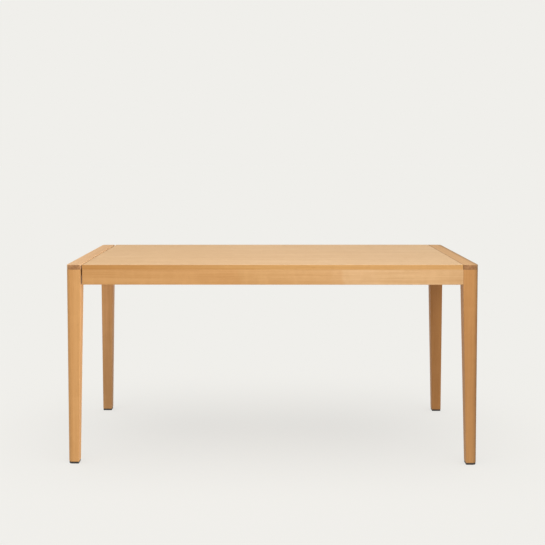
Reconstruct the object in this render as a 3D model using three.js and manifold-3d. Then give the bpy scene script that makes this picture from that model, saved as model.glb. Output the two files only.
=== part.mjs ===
// Extending wooden table: a fixed unit (centre top, long aprons, right end) and a left end
// unit (two legs, end apron, end board) that slides out on two grooved wooden runners.
// Millimetres, +Z up, +X along the length, -Y is the front. The origin is on the floor
// under the middle of the table.
import * as THREE from 'three';
import * as BufferGeometryUtils from 'three/addons/utils/BufferGeometryUtils.js';
import Module from 'manifold-3d';

const wasm = await Module();
wasm.setup();

// ---------------------------------------------------------------- driving dimensions
const LENGTH = 1524;            // over the legs, end unit nearly closed
const DEPTH = 762;
const HEIGHT = 749;
const TOP_T = 18;               // top panel, end boards and leaf
const APRON_H = 56;
const APRON_T = 22;
const LEG = 55.5;               // square at the top, and the end boards' width
const LEG_LEFT = 53;             // the same along X on the left end unit, which gives up room to the slot
const FOOT = 39;                // square at the foot
const GLIDE_T = 7;
const CORNER_R = 15;             // outer upright corner of the legs and end boards
const SEAM_GAP = 6;           // open slot between the left end unit and the centre
const TRAVEL = 400;             // pull-out, one leaf

const TENON_T = 10, TENON_L = 24.5, TENON_H = 40;
const FIT = 0.3;                // play left in glued and cut joints

const RAIL_W = LEG - APRON_T, RAIL_Z0 = 707.5, TONGUE_H = 14, TONGUE_L = 12.5;
const RUN_W = 30, RUN_H = 32, RUN_L = 900, RUN_PLAY = 0.5;
const BATTEN_T = 18, BATTEN_W = 40;
const PEG_R = 5, PEG_PITCH = 254;

// ---------------------------------------------------------------- derived planes
const XL = -LENGTH / 2, XR = LENGTH / 2;
const YF = -DEPTH / 2, YB = DEPTH / 2;
const ZU = HEIGHT - TOP_T;              // underside of the top
const ZA = ZU - APRON_H;                // underside of the aprons
const XLI = XL + LEG_LEFT, XRI = XR - LEG;   // inner faces of the legs
const XC = XLI + SEAM_GAP;              // left end of the fixed unit
const YAI = DEPTH / 2 - APRON_T;        // inner face of a long apron, +-Y
const YLI = DEPTH / 2 - LEG;            // inner face of a leg, +-Y
const ZT0 = ZA + 8, ZT1 = ZT0 + TENON_H;

// ---------------------------------------------------------------- shape helpers
function geomOfSolid(m) {
  const mesh = m.getMesh();
  const g = new THREE.BufferGeometry();
  const n = mesh.vertProperties.length / mesh.numProp;
  const pos = new Float32Array(n * 3);
  for (let i = 0; i < n; i++) {
    for (let k = 0; k < 3; k++) pos[i * 3 + k] = mesh.vertProperties[i * mesh.numProp + k];
  }
  g.setAttribute('position', new THREE.BufferAttribute(pos, 3));
  g.setIndex(new THREE.BufferAttribute(new Uint32Array(mesh.triVerts), 1));
  return g;
}

function solidOf(geometry) {
  let g = geometry.clone();
  g.deleteAttribute('normal');
  g.deleteAttribute('uv');
  g = BufferGeometryUtils.mergeVertices(g, 1e-4);
  return new wasm.Manifold(new wasm.Mesh({
    numProp: 3,
    vertProperties: new Float32Array(g.attributes.position.array),
    triVerts: new Uint32Array(g.index.array),
  }));
}

// a box given by its lowest and highest corners
function box(x0, x1, y0, y1, z0, z1) {
  const g = new THREE.BoxGeometry(Math.abs(x1 - x0), Math.abs(y1 - y0), Math.abs(z1 - z0));
  g.translate((x0 + x1) / 2, (y0 + y1) / 2, (z0 + z1) / 2);
  return solidOf(g);
}

// a round bar from point a along a unit direction
function bar(a, dir, r, length, seg = 12) {
  const g = new THREE.CylinderGeometry(r, r, length, seg);
  g.translate(0, length / 2, 0);
  const q = new THREE.Quaternion().setFromUnitVectors(
    new THREE.Vector3(0, 1, 0), new THREE.Vector3(...dir).normalize());
  g.applyQuaternion(q);
  g.translate(...a);
  return solidOf(g);
}

// an outline in X and Y, raised from z0 to z1
function plate(points, z0, z1) {
  const g = new THREE.ExtrudeGeometry(
    new THREE.Shape(points.map(([x, y]) => new THREE.Vector2(x, y))),
    { depth: z1 - z0, bevelEnabled: false });
  g.translate(0, 0, z0);
  return solidOf(g);
}

// a rectangle in X and Y between an outer corner (xo, yo) and the inner corner (xi, yi), the
// outer corner rounded by r; the points run anticlockwise
function roundedCorner(xo, yo, xi, yi, r, seg = 8) {
  const sx = Math.sign(xo - xi), sy = Math.sign(yo - yi);
  const pts = [[xi, yo]];
  for (let k = 0; k <= seg; k++) {
    const a = (k / seg) * Math.PI / 2;
    pts.push([xo - sx * r * (1 - Math.sin(a)), yo - sy * r * (1 - Math.cos(a))]);
  }
  pts.push([xo, yi], [xi, yi]);
  return sx * sy > 0 ? pts.reverse() : pts;
}

// an outline in Y and Z, drawn out from x0 to x1
function profileAlongX(points, x0, x1) {
  const g = new THREE.ExtrudeGeometry(
    new THREE.Shape(points.map(([y, z]) => new THREE.Vector2(y, z))),
    { depth: x1 - x0, bevelEnabled: false });
  // shape X -> Y, shape Y -> Z, depth -> X
  g.applyMatrix4(new THREE.Matrix4().set(
    0, 0, 1, x0,
    1, 0, 0, 0,
    0, 1, 0, 0,
    0, 0, 0, 1));
  return solidOf(g);
}

const cut = (a, ...tools) => tools.reduce((m, t) => m.subtract(t), a);
const join = (a, ...more) => more.reduce((m, t) => m.add(t), a);

const group = new THREE.Group();
const WOOD = new THREE.Color(0xd7a468), END_WOOD = new THREE.Color(0xdcab74);
const INNER = new THREE.Color(0xd9bd8d), PEG = new THREE.Color(0xcfa46a);
const STEEL = new THREE.Color(0xa9abad), BLACK = new THREE.Color(0x2b2622);

function add(name, solid, color, roughness = 0.5, metalness = 0) {
  const mesh = new THREE.Mesh(geomOfSolid(solid),
    new THREE.MeshStandardMaterial({ color, roughness, metalness }));
  mesh.name = name;
  group.add(mesh);
}

// ---------------------------------------------------------------- legs and glides
// sx, sy: which corner the leg stands at (-1 or 1)
function legSolid(sx, sy, withLongApron) {
  const xo = sx * LENGTH / 2, yo = sy * DEPTH / 2;
  const wx = sx < 0 ? LEG_LEFT : LEG;
  const top = box(xo, xo - sx * wx, yo, yo - sy * LEG, ZA, ZU);
  // the tapered shaft: outer faces upright, inner faces drawn in towards the foot
  const g = new THREE.BoxGeometry(1, 1, 1);
  const p = g.attributes.position;
  for (let i = 0; i < p.count; i++) {
    const high = p.getZ(i) > 0;
    const fx = high ? wx : FOOT, fy = high ? LEG : FOOT;
    const inX = sx > 0 ? p.getX(i) < 0 : p.getX(i) > 0;
    const inY = sy > 0 ? p.getY(i) < 0 : p.getY(i) > 0;
    p.setXYZ(i, inX ? xo - sx * fx : xo, inY ? yo - sy * fy : yo, high ? ZA : GLIDE_T);
  }
  let m = join(top, solidOf(g)).intersect(
    plate(roundedCorner(xo, yo, xo - sx * wx, yo - sy * LEG, CORNER_R), 0, HEIGHT));
  // mortise for the end apron
  const xm = xo - sx * APRON_T / 2;
  m = cut(m, box(xm - TENON_T / 2 - FIT, xm + TENON_T / 2 + FIT,
    sy * (YLI - 1), sy * (YLI + TENON_L + 0.5), ZT0 - FIT, ZT1 + FIT));
  if (withLongApron) {
    const ym = sy * (YAI + APRON_T / 2);
    m = cut(m, box(sx * (LENGTH / 2 - LEG - 1), sx * (LENGTH / 2 - LEG + TENON_L + 0.5),
      ym - TENON_T / 2 - FIT, ym + TENON_T / 2 + FIT, ZT0 - FIT, ZT1 + FIT));
    // hole for the hanger bolt, into the inner corner on the diagonal
    m = cut(m, bar([sx * (LENGTH / 2 - LEG - 3), sy * (YLI - 3), BOLT_Z],
      [sx, sy, 0], BOLT_R + FIT, 3 * Math.SQRT2 + BOLT_IN + 1));
  }
  // dowel hole in the top, stem hole in the foot
  m = cut(m,
    bar([xo - sx * LEG / 2, yo - sy * LEG / 2, ZU - 24], [0, 0, 1], PEG_R + FIT, 30),
    bar([xo - sx * FOOT / 2, yo - sy * FOOT / 2, GLIDE_T - 5], [0, 0, 1], 4 + FIT, 22));
  return m;
}

// glide to the outline of the foot, with a stem that plugs into it
function glideSolid(sx, sy) {
  const xo = sx * LENGTH / 2, yo = sy * DEPTH / 2;
  const i = 0.75;
  return join(plate(roundedCorner(xo - sx * i, yo - sy * i, xo - sx * (FOOT - i), yo - sy * (FOOT - i),
    CORNER_R - i), 0, GLIDE_T),
    bar([xo - sx * FOOT / 2, yo - sy * FOOT / 2, GLIDE_T - 2], [0, 0, 1], 4, 17));
}

const BOLT_R = 4, BOLT_IN = 28, BOLT_Z = 697;

add('leg_front_left', legSolid(-1, -1, false), WOOD);
add('leg_back_left', legSolid(-1, 1, false), WOOD);
add('leg_front_right', legSolid(1, -1, true), WOOD);
add('leg_back_right', legSolid(1, 1, true), WOOD);
add('glide_front_left', glideSolid(-1, -1), BLACK, 0.6);
add('glide_back_left', glideSolid(-1, 1), BLACK, 0.6);
add('glide_front_right', glideSolid(1, -1), BLACK, 0.6);
add('glide_back_right', glideSolid(1, 1), BLACK, 0.6);

// ---------------------------------------------------------------- guide rails, runners
const RAIL_X1 = 260;
const RAIL_SCREW_X = [-640, -220, 200];
const RAIL_SCREW_Y = YAI - 16;
const SCREW_R = 2;
const RUN_Y0 = YLI - 1;                  // outer face of a runner
const RUN_Y1 = RUN_Y0 - RUN_W;           // inner face of a runner
const RUN_Z1 = ZU - RUN_PLAY, RUN_Z0 = RUN_Z1 - RUN_H;
const RUN_X0 = XL + APRON_T, RUN_X1 = RUN_X0 + RUN_L;
const TIE_X0 = RUN_X1 - 35, TIE_Z0 = ZU - 15, TIE_Z1 = ZU - 2;
const ZP = HEIGHT - TOP_T / 2;           // mid-plane of the top

for (const [sy, side] of [[-1, 'front'], [1, 'back']]) {
  // rail: glued to the apron, screwed up to the top; its tongue carries the runner's groove
  let rail = profileAlongX([
    [sy * YAI, RAIL_Z0], [sy * (YLI - TONGUE_L), RAIL_Z0],
    [sy * (YLI - TONGUE_L), RAIL_Z0 + TONGUE_H], [sy * (YAI - RAIL_W), RAIL_Z0 + TONGUE_H],
    [sy * (YAI - RAIL_W), ZU], [sy * YAI, ZU]], XC + 4, RAIL_X1);
  RAIL_SCREW_X.forEach((x) => {
    rail = cut(rail, bar([x, sy * RAIL_SCREW_Y, RAIL_Z0 - 2], [0, 0, 1], SCREW_R + FIT, 40));
  });
  add(`guide_rail_${side}`, rail, INNER);
  RAIL_SCREW_X.forEach((x, i) => {
    add(`rail_screw_${side}_${i + 1}`, join(
      bar([x, sy * RAIL_SCREW_Y, RAIL_Z0 - 3], [0, 0, 1], 4.5, 3),
      bar([x, sy * RAIL_SCREW_Y, RAIL_Z0 - 1], [0, 0, 1], SCREW_R, 33.5)), STEEL, 0.35, 0.9);
  });

  // runner: groove along its outer face
  const gy = YLI - TONGUE_L - RUN_PLAY;
  let runner = profileAlongX([
    [sy * RUN_Y0, RUN_Z0], [sy * RUN_Y1, RUN_Z0], [sy * RUN_Y1, RUN_Z1], [sy * RUN_Y0, RUN_Z1],
    [sy * RUN_Y0, RAIL_Z0 + TONGUE_H + RUN_PLAY], [sy * gy, RAIL_Z0 + TONGUE_H + RUN_PLAY],
    [sy * gy, RAIL_Z0 - RUN_PLAY], [sy * RUN_Y0, RAIL_Z0 - RUN_PLAY]], RUN_X0, RUN_X1);
  // housing for the tie's stub tenon, pilot hole for the bracket screw
  runner = cut(runner,
    box(TIE_X0 + 5 - FIT, TIE_X0 + 30 + FIT, sy * (RUN_Y1 - 2), sy * (RUN_Y1 + 10.5),
      TIE_Z0 + 3 - FIT, TIE_Z1 - 3 + FIT),
    bar([RUN_X0 + 22, sy * (RUN_Y1 - 2), 714.5], [0, sy, 0], SCREW_R + FIT, 16));
  add(`runner_${side}`, runner, INNER);

  // steel angle that fixes the runner to the end apron
  const b0 = RUN_Y1;
  const a = (x, y) => [x, sy * y];
  let angle = plate([a(RUN_X0, b0), a(RUN_X0 + 32, b0), a(RUN_X0 + 32, b0 - 2),
    a(RUN_X0 + 2, b0 - 2), a(RUN_X0 + 2, b0 - 32), a(RUN_X0, b0 - 32)], 704.5, 724.5);
  angle = cut(angle,
    bar([RUN_X0 + 22, sy * (b0 - 4), 714.5], [0, sy, 0], SCREW_R + FIT, 8),
    bar([RUN_X0 - 2, sy * (b0 - 22), 714.5], [1, 0, 0], SCREW_R + FIT, 8));
  add(`runner_bracket_${side}`, angle, STEEL, 0.35, 0.9);
  add(`bracket_screw_runner_${side}`, join(
    bar([RUN_X0 + 22, sy * (b0 - 4), 714.5], [0, sy, 0], 4, 2),
    bar([RUN_X0 + 22, sy * (b0 - 3), 714.5], [0, sy, 0], SCREW_R, 15)), STEEL, 0.35, 0.9);
  add(`bracket_screw_apron_${side}`, join(
    bar([RUN_X0 + 2, sy * (b0 - 22), 714.5], [1, 0, 0], 4, 2),
    bar([RUN_X0 - 12, sy * (b0 - 22), 714.5], [1, 0, 0], SCREW_R, 15)), STEEL, 0.35, 0.9);

  // stop block under the top, in the way of the tie at full pull-out
  const sx1 = TIE_X0 - TRAVEL - 1;
  const s0 = RUN_Y1 - 5, s1 = s0 - 30;
  add(`runner_stop_${side}`, cut(box(sx1 - 30, sx1, sy * s0, sy * s1, ZU - 14, ZU),
    bar([sx1 - 15, sy * (s0 - 15), ZU - 16], [0, 0, 1], SCREW_R + FIT, 20),
    bar([sx1 - 15, sy * (s0 - 15), ZU - 16], [0, 0, 1], 4 + FIT, 5.5)), INNER);
  add(`stop_screw_${side}`, join(
    bar([sx1 - 15, sy * (s0 - 15), ZU - 13.5], [0, 0, 1], 4, 2.5),
    bar([sx1 - 15, sy * (s0 - 15), ZU - 12], [0, 0, 1], SCREW_R, 22)), STEEL, 0.35, 0.9);
}

// tie slat between the runners' far ends
{
  const y = RUN_Y1;
  add('runner_tie', join(box(TIE_X0, TIE_X0 + 35, -y, y, TIE_Z0, TIE_Z1),
    box(TIE_X0 + 5, TIE_X0 + 30, -y - 10, y + 10, TIE_Z0 + 3, TIE_Z1 - 3)), INNER);
}

// ---------------------------------------------------------------- leaf and its battens
const BATTEN_Z1 = RUN_Z0 - 3.5;
const BATTEN_X = [-560, 0];
BATTEN_X.forEach((x, i) => {
  add(`leaf_rest_batten_${['left', 'right'][i]}`, join(
    box(x, x + BATTEN_W, -YAI, YAI, BATTEN_Z1 - BATTEN_T, BATTEN_Z1),
    box(x + 5, x + BATTEN_W - 5, -YAI - 8, YAI + 8,
      BATTEN_Z1 - BATTEN_T + 4, BATTEN_Z1 - 4)), INNER);
});

// the leaf lies a quarter turn round, its long side along the table
const LEAF_X0 = -650, LEAF_XM = LEAF_X0 + DEPTH / 2, LEAF_Z = BATTEN_Z1;
{
  let leaf = box(LEAF_X0, LEAF_X0 + DEPTH, -TRAVEL / 2, TRAVEL / 2, LEAF_Z, LEAF_Z + TOP_T);
  ['left', 'middle', 'right'].forEach((where, i) => {
    const x = LEAF_XM + (i - 1) * PEG_PITCH, z = LEAF_Z + TOP_T / 2;
    leaf = cut(leaf,
      bar([x, -TRAVEL / 2 - 2, z], [0, 1, 0], PEG_R + 0.5, 18),
      bar([x, TRAVEL / 2 - 20, z], [0, 1, 0], PEG_R + FIT, 24));
    add(`leaf_peg_${where}`, bar([x, TRAVEL / 2 - 19.5, z], [0, 1, 0], PEG_R, 33.5), PEG);
  });
  add('extension_leaf', leaf, END_WOOD, 0.45);
}

// ---------------------------------------------------------------- long aprons
for (const [sy, side] of [[-1, 'front'], [1, 'back']]) {
  const ym = sy * (YAI + APRON_T / 2);
  let apron = join(box(XC, XRI, sy * YAI, sy * DEPTH / 2, ZA, ZU),
    box(XRI - 1, XRI + TENON_L, ym - TENON_T / 2, ym + TENON_T / 2, ZT0, ZT1));
  BATTEN_X.forEach((x) => {
    apron = cut(apron, box(x + 5 - FIT, x + BATTEN_W - 5 + FIT, sy * (YAI - 2), sy * (YAI + 8.5),
      BATTEN_Z1 - BATTEN_T + 4 - FIT, BATTEN_Z1 - 4 + FIT));
  });
  add(`apron_${side}`, apron, WOOD);
}

// ---------------------------------------------------------------- end aprons
for (const [sx, side] of [[-1, 'left'], [1, 'right']]) {
  const xo = sx * LENGTH / 2, xi = xo - sx * APRON_T, xm = xo - sx * APRON_T / 2;
  let apron = join(box(xo, xi, -YLI, YLI, ZA, ZU),
    box(xm - TENON_T / 2, xm + TENON_T / 2, -YLI - TENON_L, YLI + TENON_L, ZT0, ZT1));
  if (sx < 0) {
    for (const sy of [-1, 1]) {
      apron = cut(apron, bar([xi - 13, sy * (RUN_Y1 - 22), 714.5], [1, 0, 0], SCREW_R + FIT, 16));
    }
  }
  add(`apron_end_${side}`, apron, WOOD);
}

// ---------------------------------------------------------------- top
{
  let panel = box(XC, XRI, YF, YB, ZU, HEIGHT);
  for (let i = -1; i <= 1; i++) {
    panel = cut(panel, bar([XC - 2, i * PEG_PITCH, ZP], [1, 0, 0], PEG_R + 0.5, 18));
  }
  for (const sy of [-1, 1]) {
    RAIL_SCREW_X.forEach((x) => {
      panel = cut(panel, bar([x, sy * RAIL_SCREW_Y, ZU - 2], [0, 0, 1], SCREW_R + FIT, 12));
    });
    panel = cut(panel, bar([TIE_X0 - TRAVEL - 16, sy * (RUN_Y1 - 20), ZU - 2], [0, 0, 1],
      SCREW_R + FIT, 13));
  }
  // stopped groove for the spline
  panel = cut(panel, box(XRI - 8, XRI + 2, -330, 330, ZP - 3, ZP + 3));
  add('top_centre_panel', panel, END_WOOD, 0.45);

  add('seam_spline_right', box(XRI - 7.5, XRI + 7.5, -329.5, 329.5, ZP - 2.75, ZP + 2.75), PEG);

  for (const [sx, side] of [[-1, 'left'], [1, 'right']]) {
    const xo = sx * LENGTH / 2, xi = xo - sx * (sx < 0 ? LEG_LEFT : LEG);
    let board = join(
      plate(roundedCorner(xo, YF, xi, 0, CORNER_R), ZU, HEIGHT),
      plate(roundedCorner(xo, YB, xi, 0, CORNER_R), ZU, HEIGHT));
    for (const sy of [-1, 1]) {
      const dx = xo - sx * LEG / 2, dy = sy * (DEPTH / 2 - LEG / 2);
      board = cut(board, bar([dx, dy, ZU - 2], [0, 0, 1], PEG_R + FIT, 14));
      add(`end_board_dowel_${sy < 0 ? 'front' : 'back'}_${side}`,
        bar([dx, dy, ZU - 23.5], [0, 0, 1], PEG_R, 35), PEG);
    }
    if (sx < 0) {
      ['front', 'middle', 'back'].forEach((where, i) => {
        const y = (i - 1) * PEG_PITCH;
        board = cut(board, bar([XLI - 20, y, ZP], [1, 0, 0], PEG_R + FIT, 24));
        add(`locating_peg_${where}`, bar([XLI - 19.5, y, ZP], [1, 0, 0], PEG_R, 33.5), PEG);
      });
    } else {
      board = cut(board, box(XRI - 2, XRI + 8, -330, 330, ZP - 3, ZP + 3));
    }
    add(`top_end_board_${side}`, board, END_WOOD, 0.45);
  }
}

// ---------------------------------------------------------------- right-hand corner braces
// Each brace crosses the corner in front of the leg and is drawn up to it by a hanger bolt.
for (const [sy, side] of [[-1, 'front'], [1, 'back']]) {
  const c = LEG - APRON_T;                 // how far the leg stands in from the aprons
  const xc = XR - APRON_T, yc = YAI;       // the corner where the apron faces would meet
  const w0 = 2 * c + 3, w1 = w0 + 28;      // near and far faces, along each apron
  const P = (u, v) => [xc - u, sy * (yc - v)];
  // the ends are cut back a little from the apron faces, where the glue line lies
  let brace = plate([P(w0 - FIT, FIT), P(w1 - FIT, FIT), P(FIT, w1 - FIT), P(FIT, w0 - FIT)],
    ZA + 6, ZU - 6);
  const dir = [sx45(1), sy * sx45(1), 0];  // from inside the table towards the leg
  const at = (d) => [xc - d * Math.SQRT1_2, sy * (yc - d * Math.SQRT1_2), BOLT_Z];
  const dFar = w1 * Math.SQRT1_2, dLeg = 2 * c * Math.SQRT1_2;
  brace = cut(brace, bar(at(dFar + 3), dir, BOLT_R + 0.5, 40));
  add(`corner_brace_right_${side}`, brace, INNER);
  add(`hanger_bolt_right_${side}`, bar(at(dFar + 16), dir, BOLT_R, dFar + 16 - dLeg + BOLT_IN),
    STEEL, 0.35, 0.9);
  add(`brace_washer_right_${side}`, cut(bar(at(dFar + 2.3), dir, 10, 2, 16),
    bar(at(dFar + 4), dir, BOLT_R + 0.4, 6)), STEEL, 0.35, 0.9);
  add(`brace_nut_right_${side}`, cut(bar(at(dFar + 9.5), dir, 7.5, 6.5, 6),
    bar(at(dFar + 12), dir, BOLT_R + FIT, 12)), STEEL, 0.35, 0.9);
}
function sx45(s) { return s * Math.SQRT1_2; }

export default group;
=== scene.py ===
"""Extending wooden table: the visual model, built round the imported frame. Metres, +Z up."""
import math

import bmesh
import bpy
from mathutils import Matrix, Vector


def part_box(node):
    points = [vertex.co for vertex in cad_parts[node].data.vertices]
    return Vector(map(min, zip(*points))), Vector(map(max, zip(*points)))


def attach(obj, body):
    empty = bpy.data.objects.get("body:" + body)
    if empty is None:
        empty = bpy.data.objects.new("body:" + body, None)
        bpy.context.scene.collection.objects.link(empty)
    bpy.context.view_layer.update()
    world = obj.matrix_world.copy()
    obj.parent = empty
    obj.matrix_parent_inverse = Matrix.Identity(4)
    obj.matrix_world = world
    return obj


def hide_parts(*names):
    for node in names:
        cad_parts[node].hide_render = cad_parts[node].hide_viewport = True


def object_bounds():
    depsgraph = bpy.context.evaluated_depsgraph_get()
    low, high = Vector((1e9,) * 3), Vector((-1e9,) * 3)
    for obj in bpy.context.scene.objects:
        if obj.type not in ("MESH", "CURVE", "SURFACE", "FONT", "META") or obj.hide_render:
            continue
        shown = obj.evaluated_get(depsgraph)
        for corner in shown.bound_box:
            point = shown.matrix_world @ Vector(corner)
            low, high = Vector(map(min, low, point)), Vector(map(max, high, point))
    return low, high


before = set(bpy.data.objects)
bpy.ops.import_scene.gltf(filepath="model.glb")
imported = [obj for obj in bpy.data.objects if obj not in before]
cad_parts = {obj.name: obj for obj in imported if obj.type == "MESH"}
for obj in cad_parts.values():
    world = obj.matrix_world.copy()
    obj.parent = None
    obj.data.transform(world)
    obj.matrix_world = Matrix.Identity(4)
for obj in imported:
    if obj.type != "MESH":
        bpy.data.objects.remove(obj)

CAD_LO, CAD_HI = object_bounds()
MM = 0.001
ROOT, LEFT = "centre_and_right_end", "left_end"


# ------------------------------------------------------------------ colour helpers
def lin(c):
    """sRGB 0-255 to linear."""
    out = []
    for v in c:
        v = v / 255.0
        out.append(v / 12.92 if v <= 0.04045 else ((v + 0.055) / 1.055) ** 2.4)
    return tuple(out)


def mul(c, k):
    k = k if isinstance(k, (tuple, list)) else (k, k, k)
    return tuple(max(0.0, min(1.0, a * b)) for a, b in zip(c, k))


# ------------------------------------------------------------------ node helpers
class Graph:
    def __init__(self, name):
        self.mat = bpy.data.materials.new(name)
        self.mat.use_nodes = True
        self.t = self.mat.node_tree
        self.t.nodes.clear()
        self.out = self.t.nodes.new("ShaderNodeOutputMaterial")
        self.bsdf = self.t.nodes.new("ShaderNodeBsdfPrincipled")
        self.t.links.new(self.bsdf.outputs[0], self.out.inputs[0])

    def put(self, sock, val):
        if isinstance(val, bpy.types.NodeSocket):
            self.t.links.new(val, sock)
        elif isinstance(val, (tuple, list)):
            n = len(sock.default_value)
            sock.default_value = tuple(val)[:n] if len(val) >= n else tuple(val) + (1.0,) * (n - len(val))
        else:
            sock.default_value = val

    def math(self, op, a, b=None, c=None, clamp=False):
        n = self.t.nodes.new("ShaderNodeMath")
        n.operation, n.use_clamp = op, clamp
        for i, v in enumerate((a, b, c)):
            if v is not None:
                self.put(n.inputs[i], v)
        return n.outputs[0]

    def vec(self, op, a, b):
        n = self.t.nodes.new("ShaderNodeVectorMath")
        n.operation = op
        self.put(n.inputs[0], a)
        self.put(n.inputs[1], b)
        return n.outputs["Value"] if op in ("DOT_PRODUCT", "LENGTH") else n.outputs[0]

    def noise(self, vec, scale=1.0, detail=2.0, rough=0.5, dist=0.0):
        n = self.t.nodes.new("ShaderNodeTexNoise")
        self.put(n.inputs["Vector"], vec)
        n.inputs["Scale"].default_value = scale
        n.inputs["Detail"].default_value = detail
        n.inputs["Roughness"].default_value = rough
        n.inputs["Distortion"].default_value = dist
        return n.outputs[0]

    def band(self, v, lo, hi, a=0.0, b=1.0):
        """v from lo..hi mapped smoothly onto a..b, held at the ends."""
        n = self.t.nodes.new("ShaderNodeMapRange")
        n.interpolation_type = "SMOOTHSTEP"
        for i, x in enumerate((v, lo, hi, a, b)):
            self.put(n.inputs[i], x)
        return n.outputs[0]

    def ramp(self, v, stops):
        n = self.t.nodes.new("ShaderNodeValToRGB")
        self.put(n.inputs[0], v)
        e = n.color_ramp.elements
        while len(e) < len(stops):
            e.new(0.5)
        for el, (p, c) in zip(e, stops):
            el.position = p
            el.color = (c, c, c, 1) if isinstance(c, (int, float)) else (*c, 1)
        return n.outputs[0]

    def mix(self, f, a, b, blend="MIX"):
        n = self.t.nodes.new("ShaderNodeMix")
        n.data_type, n.blend_type = "RGBA", blend
        self.put(n.inputs[0], f)
        self.put(n.inputs[6], a)
        self.put(n.inputs[7], b)
        return n.outputs[2]

    def bump(self, height, strength, distance):
        n = self.t.nodes.new("ShaderNodeBump")
        n.inputs["Strength"].default_value = strength
        n.inputs["Distance"].default_value = distance
        self.put(n.inputs["Height"], height)
        self.t.links.new(n.outputs[0], self.bsdf.inputs["Normal"])


def wood(name, axis, tone, seed, centre=(0.05, 0.09), ring=0.0036, streak=0.16, fine=1.0,
         end=None, rough=0.54, coat=0.0, lacquer=True, drift=None, wear=0.25, figure=0.05, slant=0.0,
         lines=0.30, seam_shade_line=None, painted_shading_x=None):
    """Solid-texture timber: growth rings round an axis along the grain, fibres, pores, end grain.

    axis is the grain direction (0, 1 or 2), tone the mean colour (linear), centre the pith's place
    across the grain, measured from the seed's own origin, drift a list of (place, tone factor)
    along the grain for the change from stave to stave and, on some pieces, for painted light and
    shade; then the world X of a tight seam drawn with a painted dark line of shade, its half width
    and its strength; last a list of (world X, tone factor) for painted shade and painted light along one side of the
    piece.
    """
    g = Graph(name)
    # the painted shading along X is taken at its brightest factor here; the ramp below brings the rest down
    if painted_shading_x:
        tone = mul(tone, max(f for _, f in painted_shading_x))
        end = mul(end, max(f for _, f in painted_shading_x)) if end else end
    if drift:
        drift = [(x, (f, f, f) if isinstance(f, (int, float)) else f) for x, f in drift]
        top = tuple(max(f[i] for _, f in drift) for i in range(3))
        drift = [(x, tuple(a / b for a, b in zip(f, top))) for x, f in drift]
        tone = mul(tone, top)
    tc = g.t.nodes.new("ShaderNodeTexCoord")
    sep = g.t.nodes.new("ShaderNodeSeparateXYZ")
    g.put(sep.inputs[0], tc.outputs["Object"])
    along, u, v = sep.outputs[axis], sep.outputs[(axis + 1) % 3], sep.outputs[(axis + 2) % 3]
    comb = g.t.nodes.new("ShaderNodeCombineXYZ")
    for i, s in enumerate((u, v, along)):
        g.put(comb.inputs[i], s)
    p = g.vec("ADD", comb.outputs[0], (seed * 3.17, seed * 1.91, seed * 2.43))
    # slow wander of the grain
    w1 = g.noise(g.vec("MULTIPLY", p, (5.0, 5.0, 0.9)), 1.0, 2.0, 0.5)
    w2 = g.noise(g.vec("MULTIPLY", p, (5.0, 5.0, 0.9)), 1.7, 2.0, 0.5)
    uu = g.math("ADD", g.math("SUBTRACT", u, centre[0]), g.math("MULTIPLY", g.math("SUBTRACT", w1, 0.5), 0.055))
    vv = g.math("ADD", g.math("SUBTRACT", v, centre[1]), g.math("MULTIPLY", g.math("SUBTRACT", w2, 0.5), 0.055))
    r = g.math("SQRT", g.math("ADD", g.math("MULTIPLY", uu, uu), g.math("MULTIPLY", vv, vv)))
    # rings of uneven width
    wob = g.noise(g.vec("MULTIPLY", p, (60.0, 60.0, 2.0)), 1.0, 3.0, 0.55)
    t = g.math("ADD", g.math("DIVIDE", r, ring), g.math("MULTIPLY", wob, 1.6))
    year = g.math("FRACT", t)
    late = g.ramp(year, [(0.0, 0.0), (0.12, 0.35), (0.62, 0.75), (0.9, 1.0), (1.0, 0.05)])
    # streaks, patches, fibres and pores
    broad = g.noise(g.vec("MULTIPLY", p, (34.0, 34.0, 1.1)), 1.0, 3.0, 0.6)
    mid = g.noise(g.vec("MULTIPLY", p, (150.0, 150.0, 2.6)), 1.0, 3.0, 0.6)
    patch = g.noise(g.vec("MULTIPLY", p, (6.0, 6.0, 2.4)), 1.0, 2.0, 0.5)
    fibre = g.noise(g.vec("MULTIPLY", p, (1100.0, 1100.0, 16.0)), 1.0, 3.0, 0.65)
    pore_n = g.noise(g.vec("MULTIPLY", p, (1500.0, 1500.0, 45.0)), 1.0, 1.0, 0.4)
    pore = g.math("MULTIPLY", g.band(pore_n, 0.60, 0.70), g.band(late, 0.75, 0.15), clamp=True)

    dark = mul(tone, (0.80, 0.72, 0.60))
    light = mul(tone, (1.07, 1.10, 1.16))
    s = g.math("ADD", g.math("MULTIPLY", broad, 0.55), g.math("MULTIPLY", mid, 0.45))
    col = g.mix(g.band(s, 0.34, 0.66), dark, light)
    col = g.mix(1.0 - streak * 3.0 if streak < 0.33 else 0.0, col, (*tone, 1.0))
    col = g.mix(g.math("MULTIPLY", g.math("SUBTRACT", 1.0, late), 0.20 * fine), col, mul(tone, (0.70, 0.60, 0.46)))
    col = g.mix(g.math("MULTIPLY", g.band(patch, 0.35, 0.70), 0.30), col, mul(tone, (0.93, 0.88, 0.82)))
    col = g.mix(g.math("MULTIPLY", g.math("SUBTRACT", fibre, 0.5), 0.34 * fine, clamp=True), col, mul(tone, (0.62, 0.50, 0.36)))
    col = g.mix(g.math("MULTIPLY", pore, 0.42 * fine), col, mul(tone, (0.42, 0.30, 0.20)))
    # cross figure: soft light and dark bands that stand across the grain
    fig = g.noise(g.vec("MULTIPLY", p, (14.0, 14.0, 26.0)), 1.0, 3.0, 0.6, 0.6)
    col = g.mix(g.band(fig, 0.46, 0.70, 0.0, figure * 2.0), col, mul(tone, (1.16, 1.20, 1.30)))
    col = g.mix(g.band(fig, 0.30, 0.52, figure * 2.0, 0.0), col, mul(tone, (0.84, 0.78, 0.66)))
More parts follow.
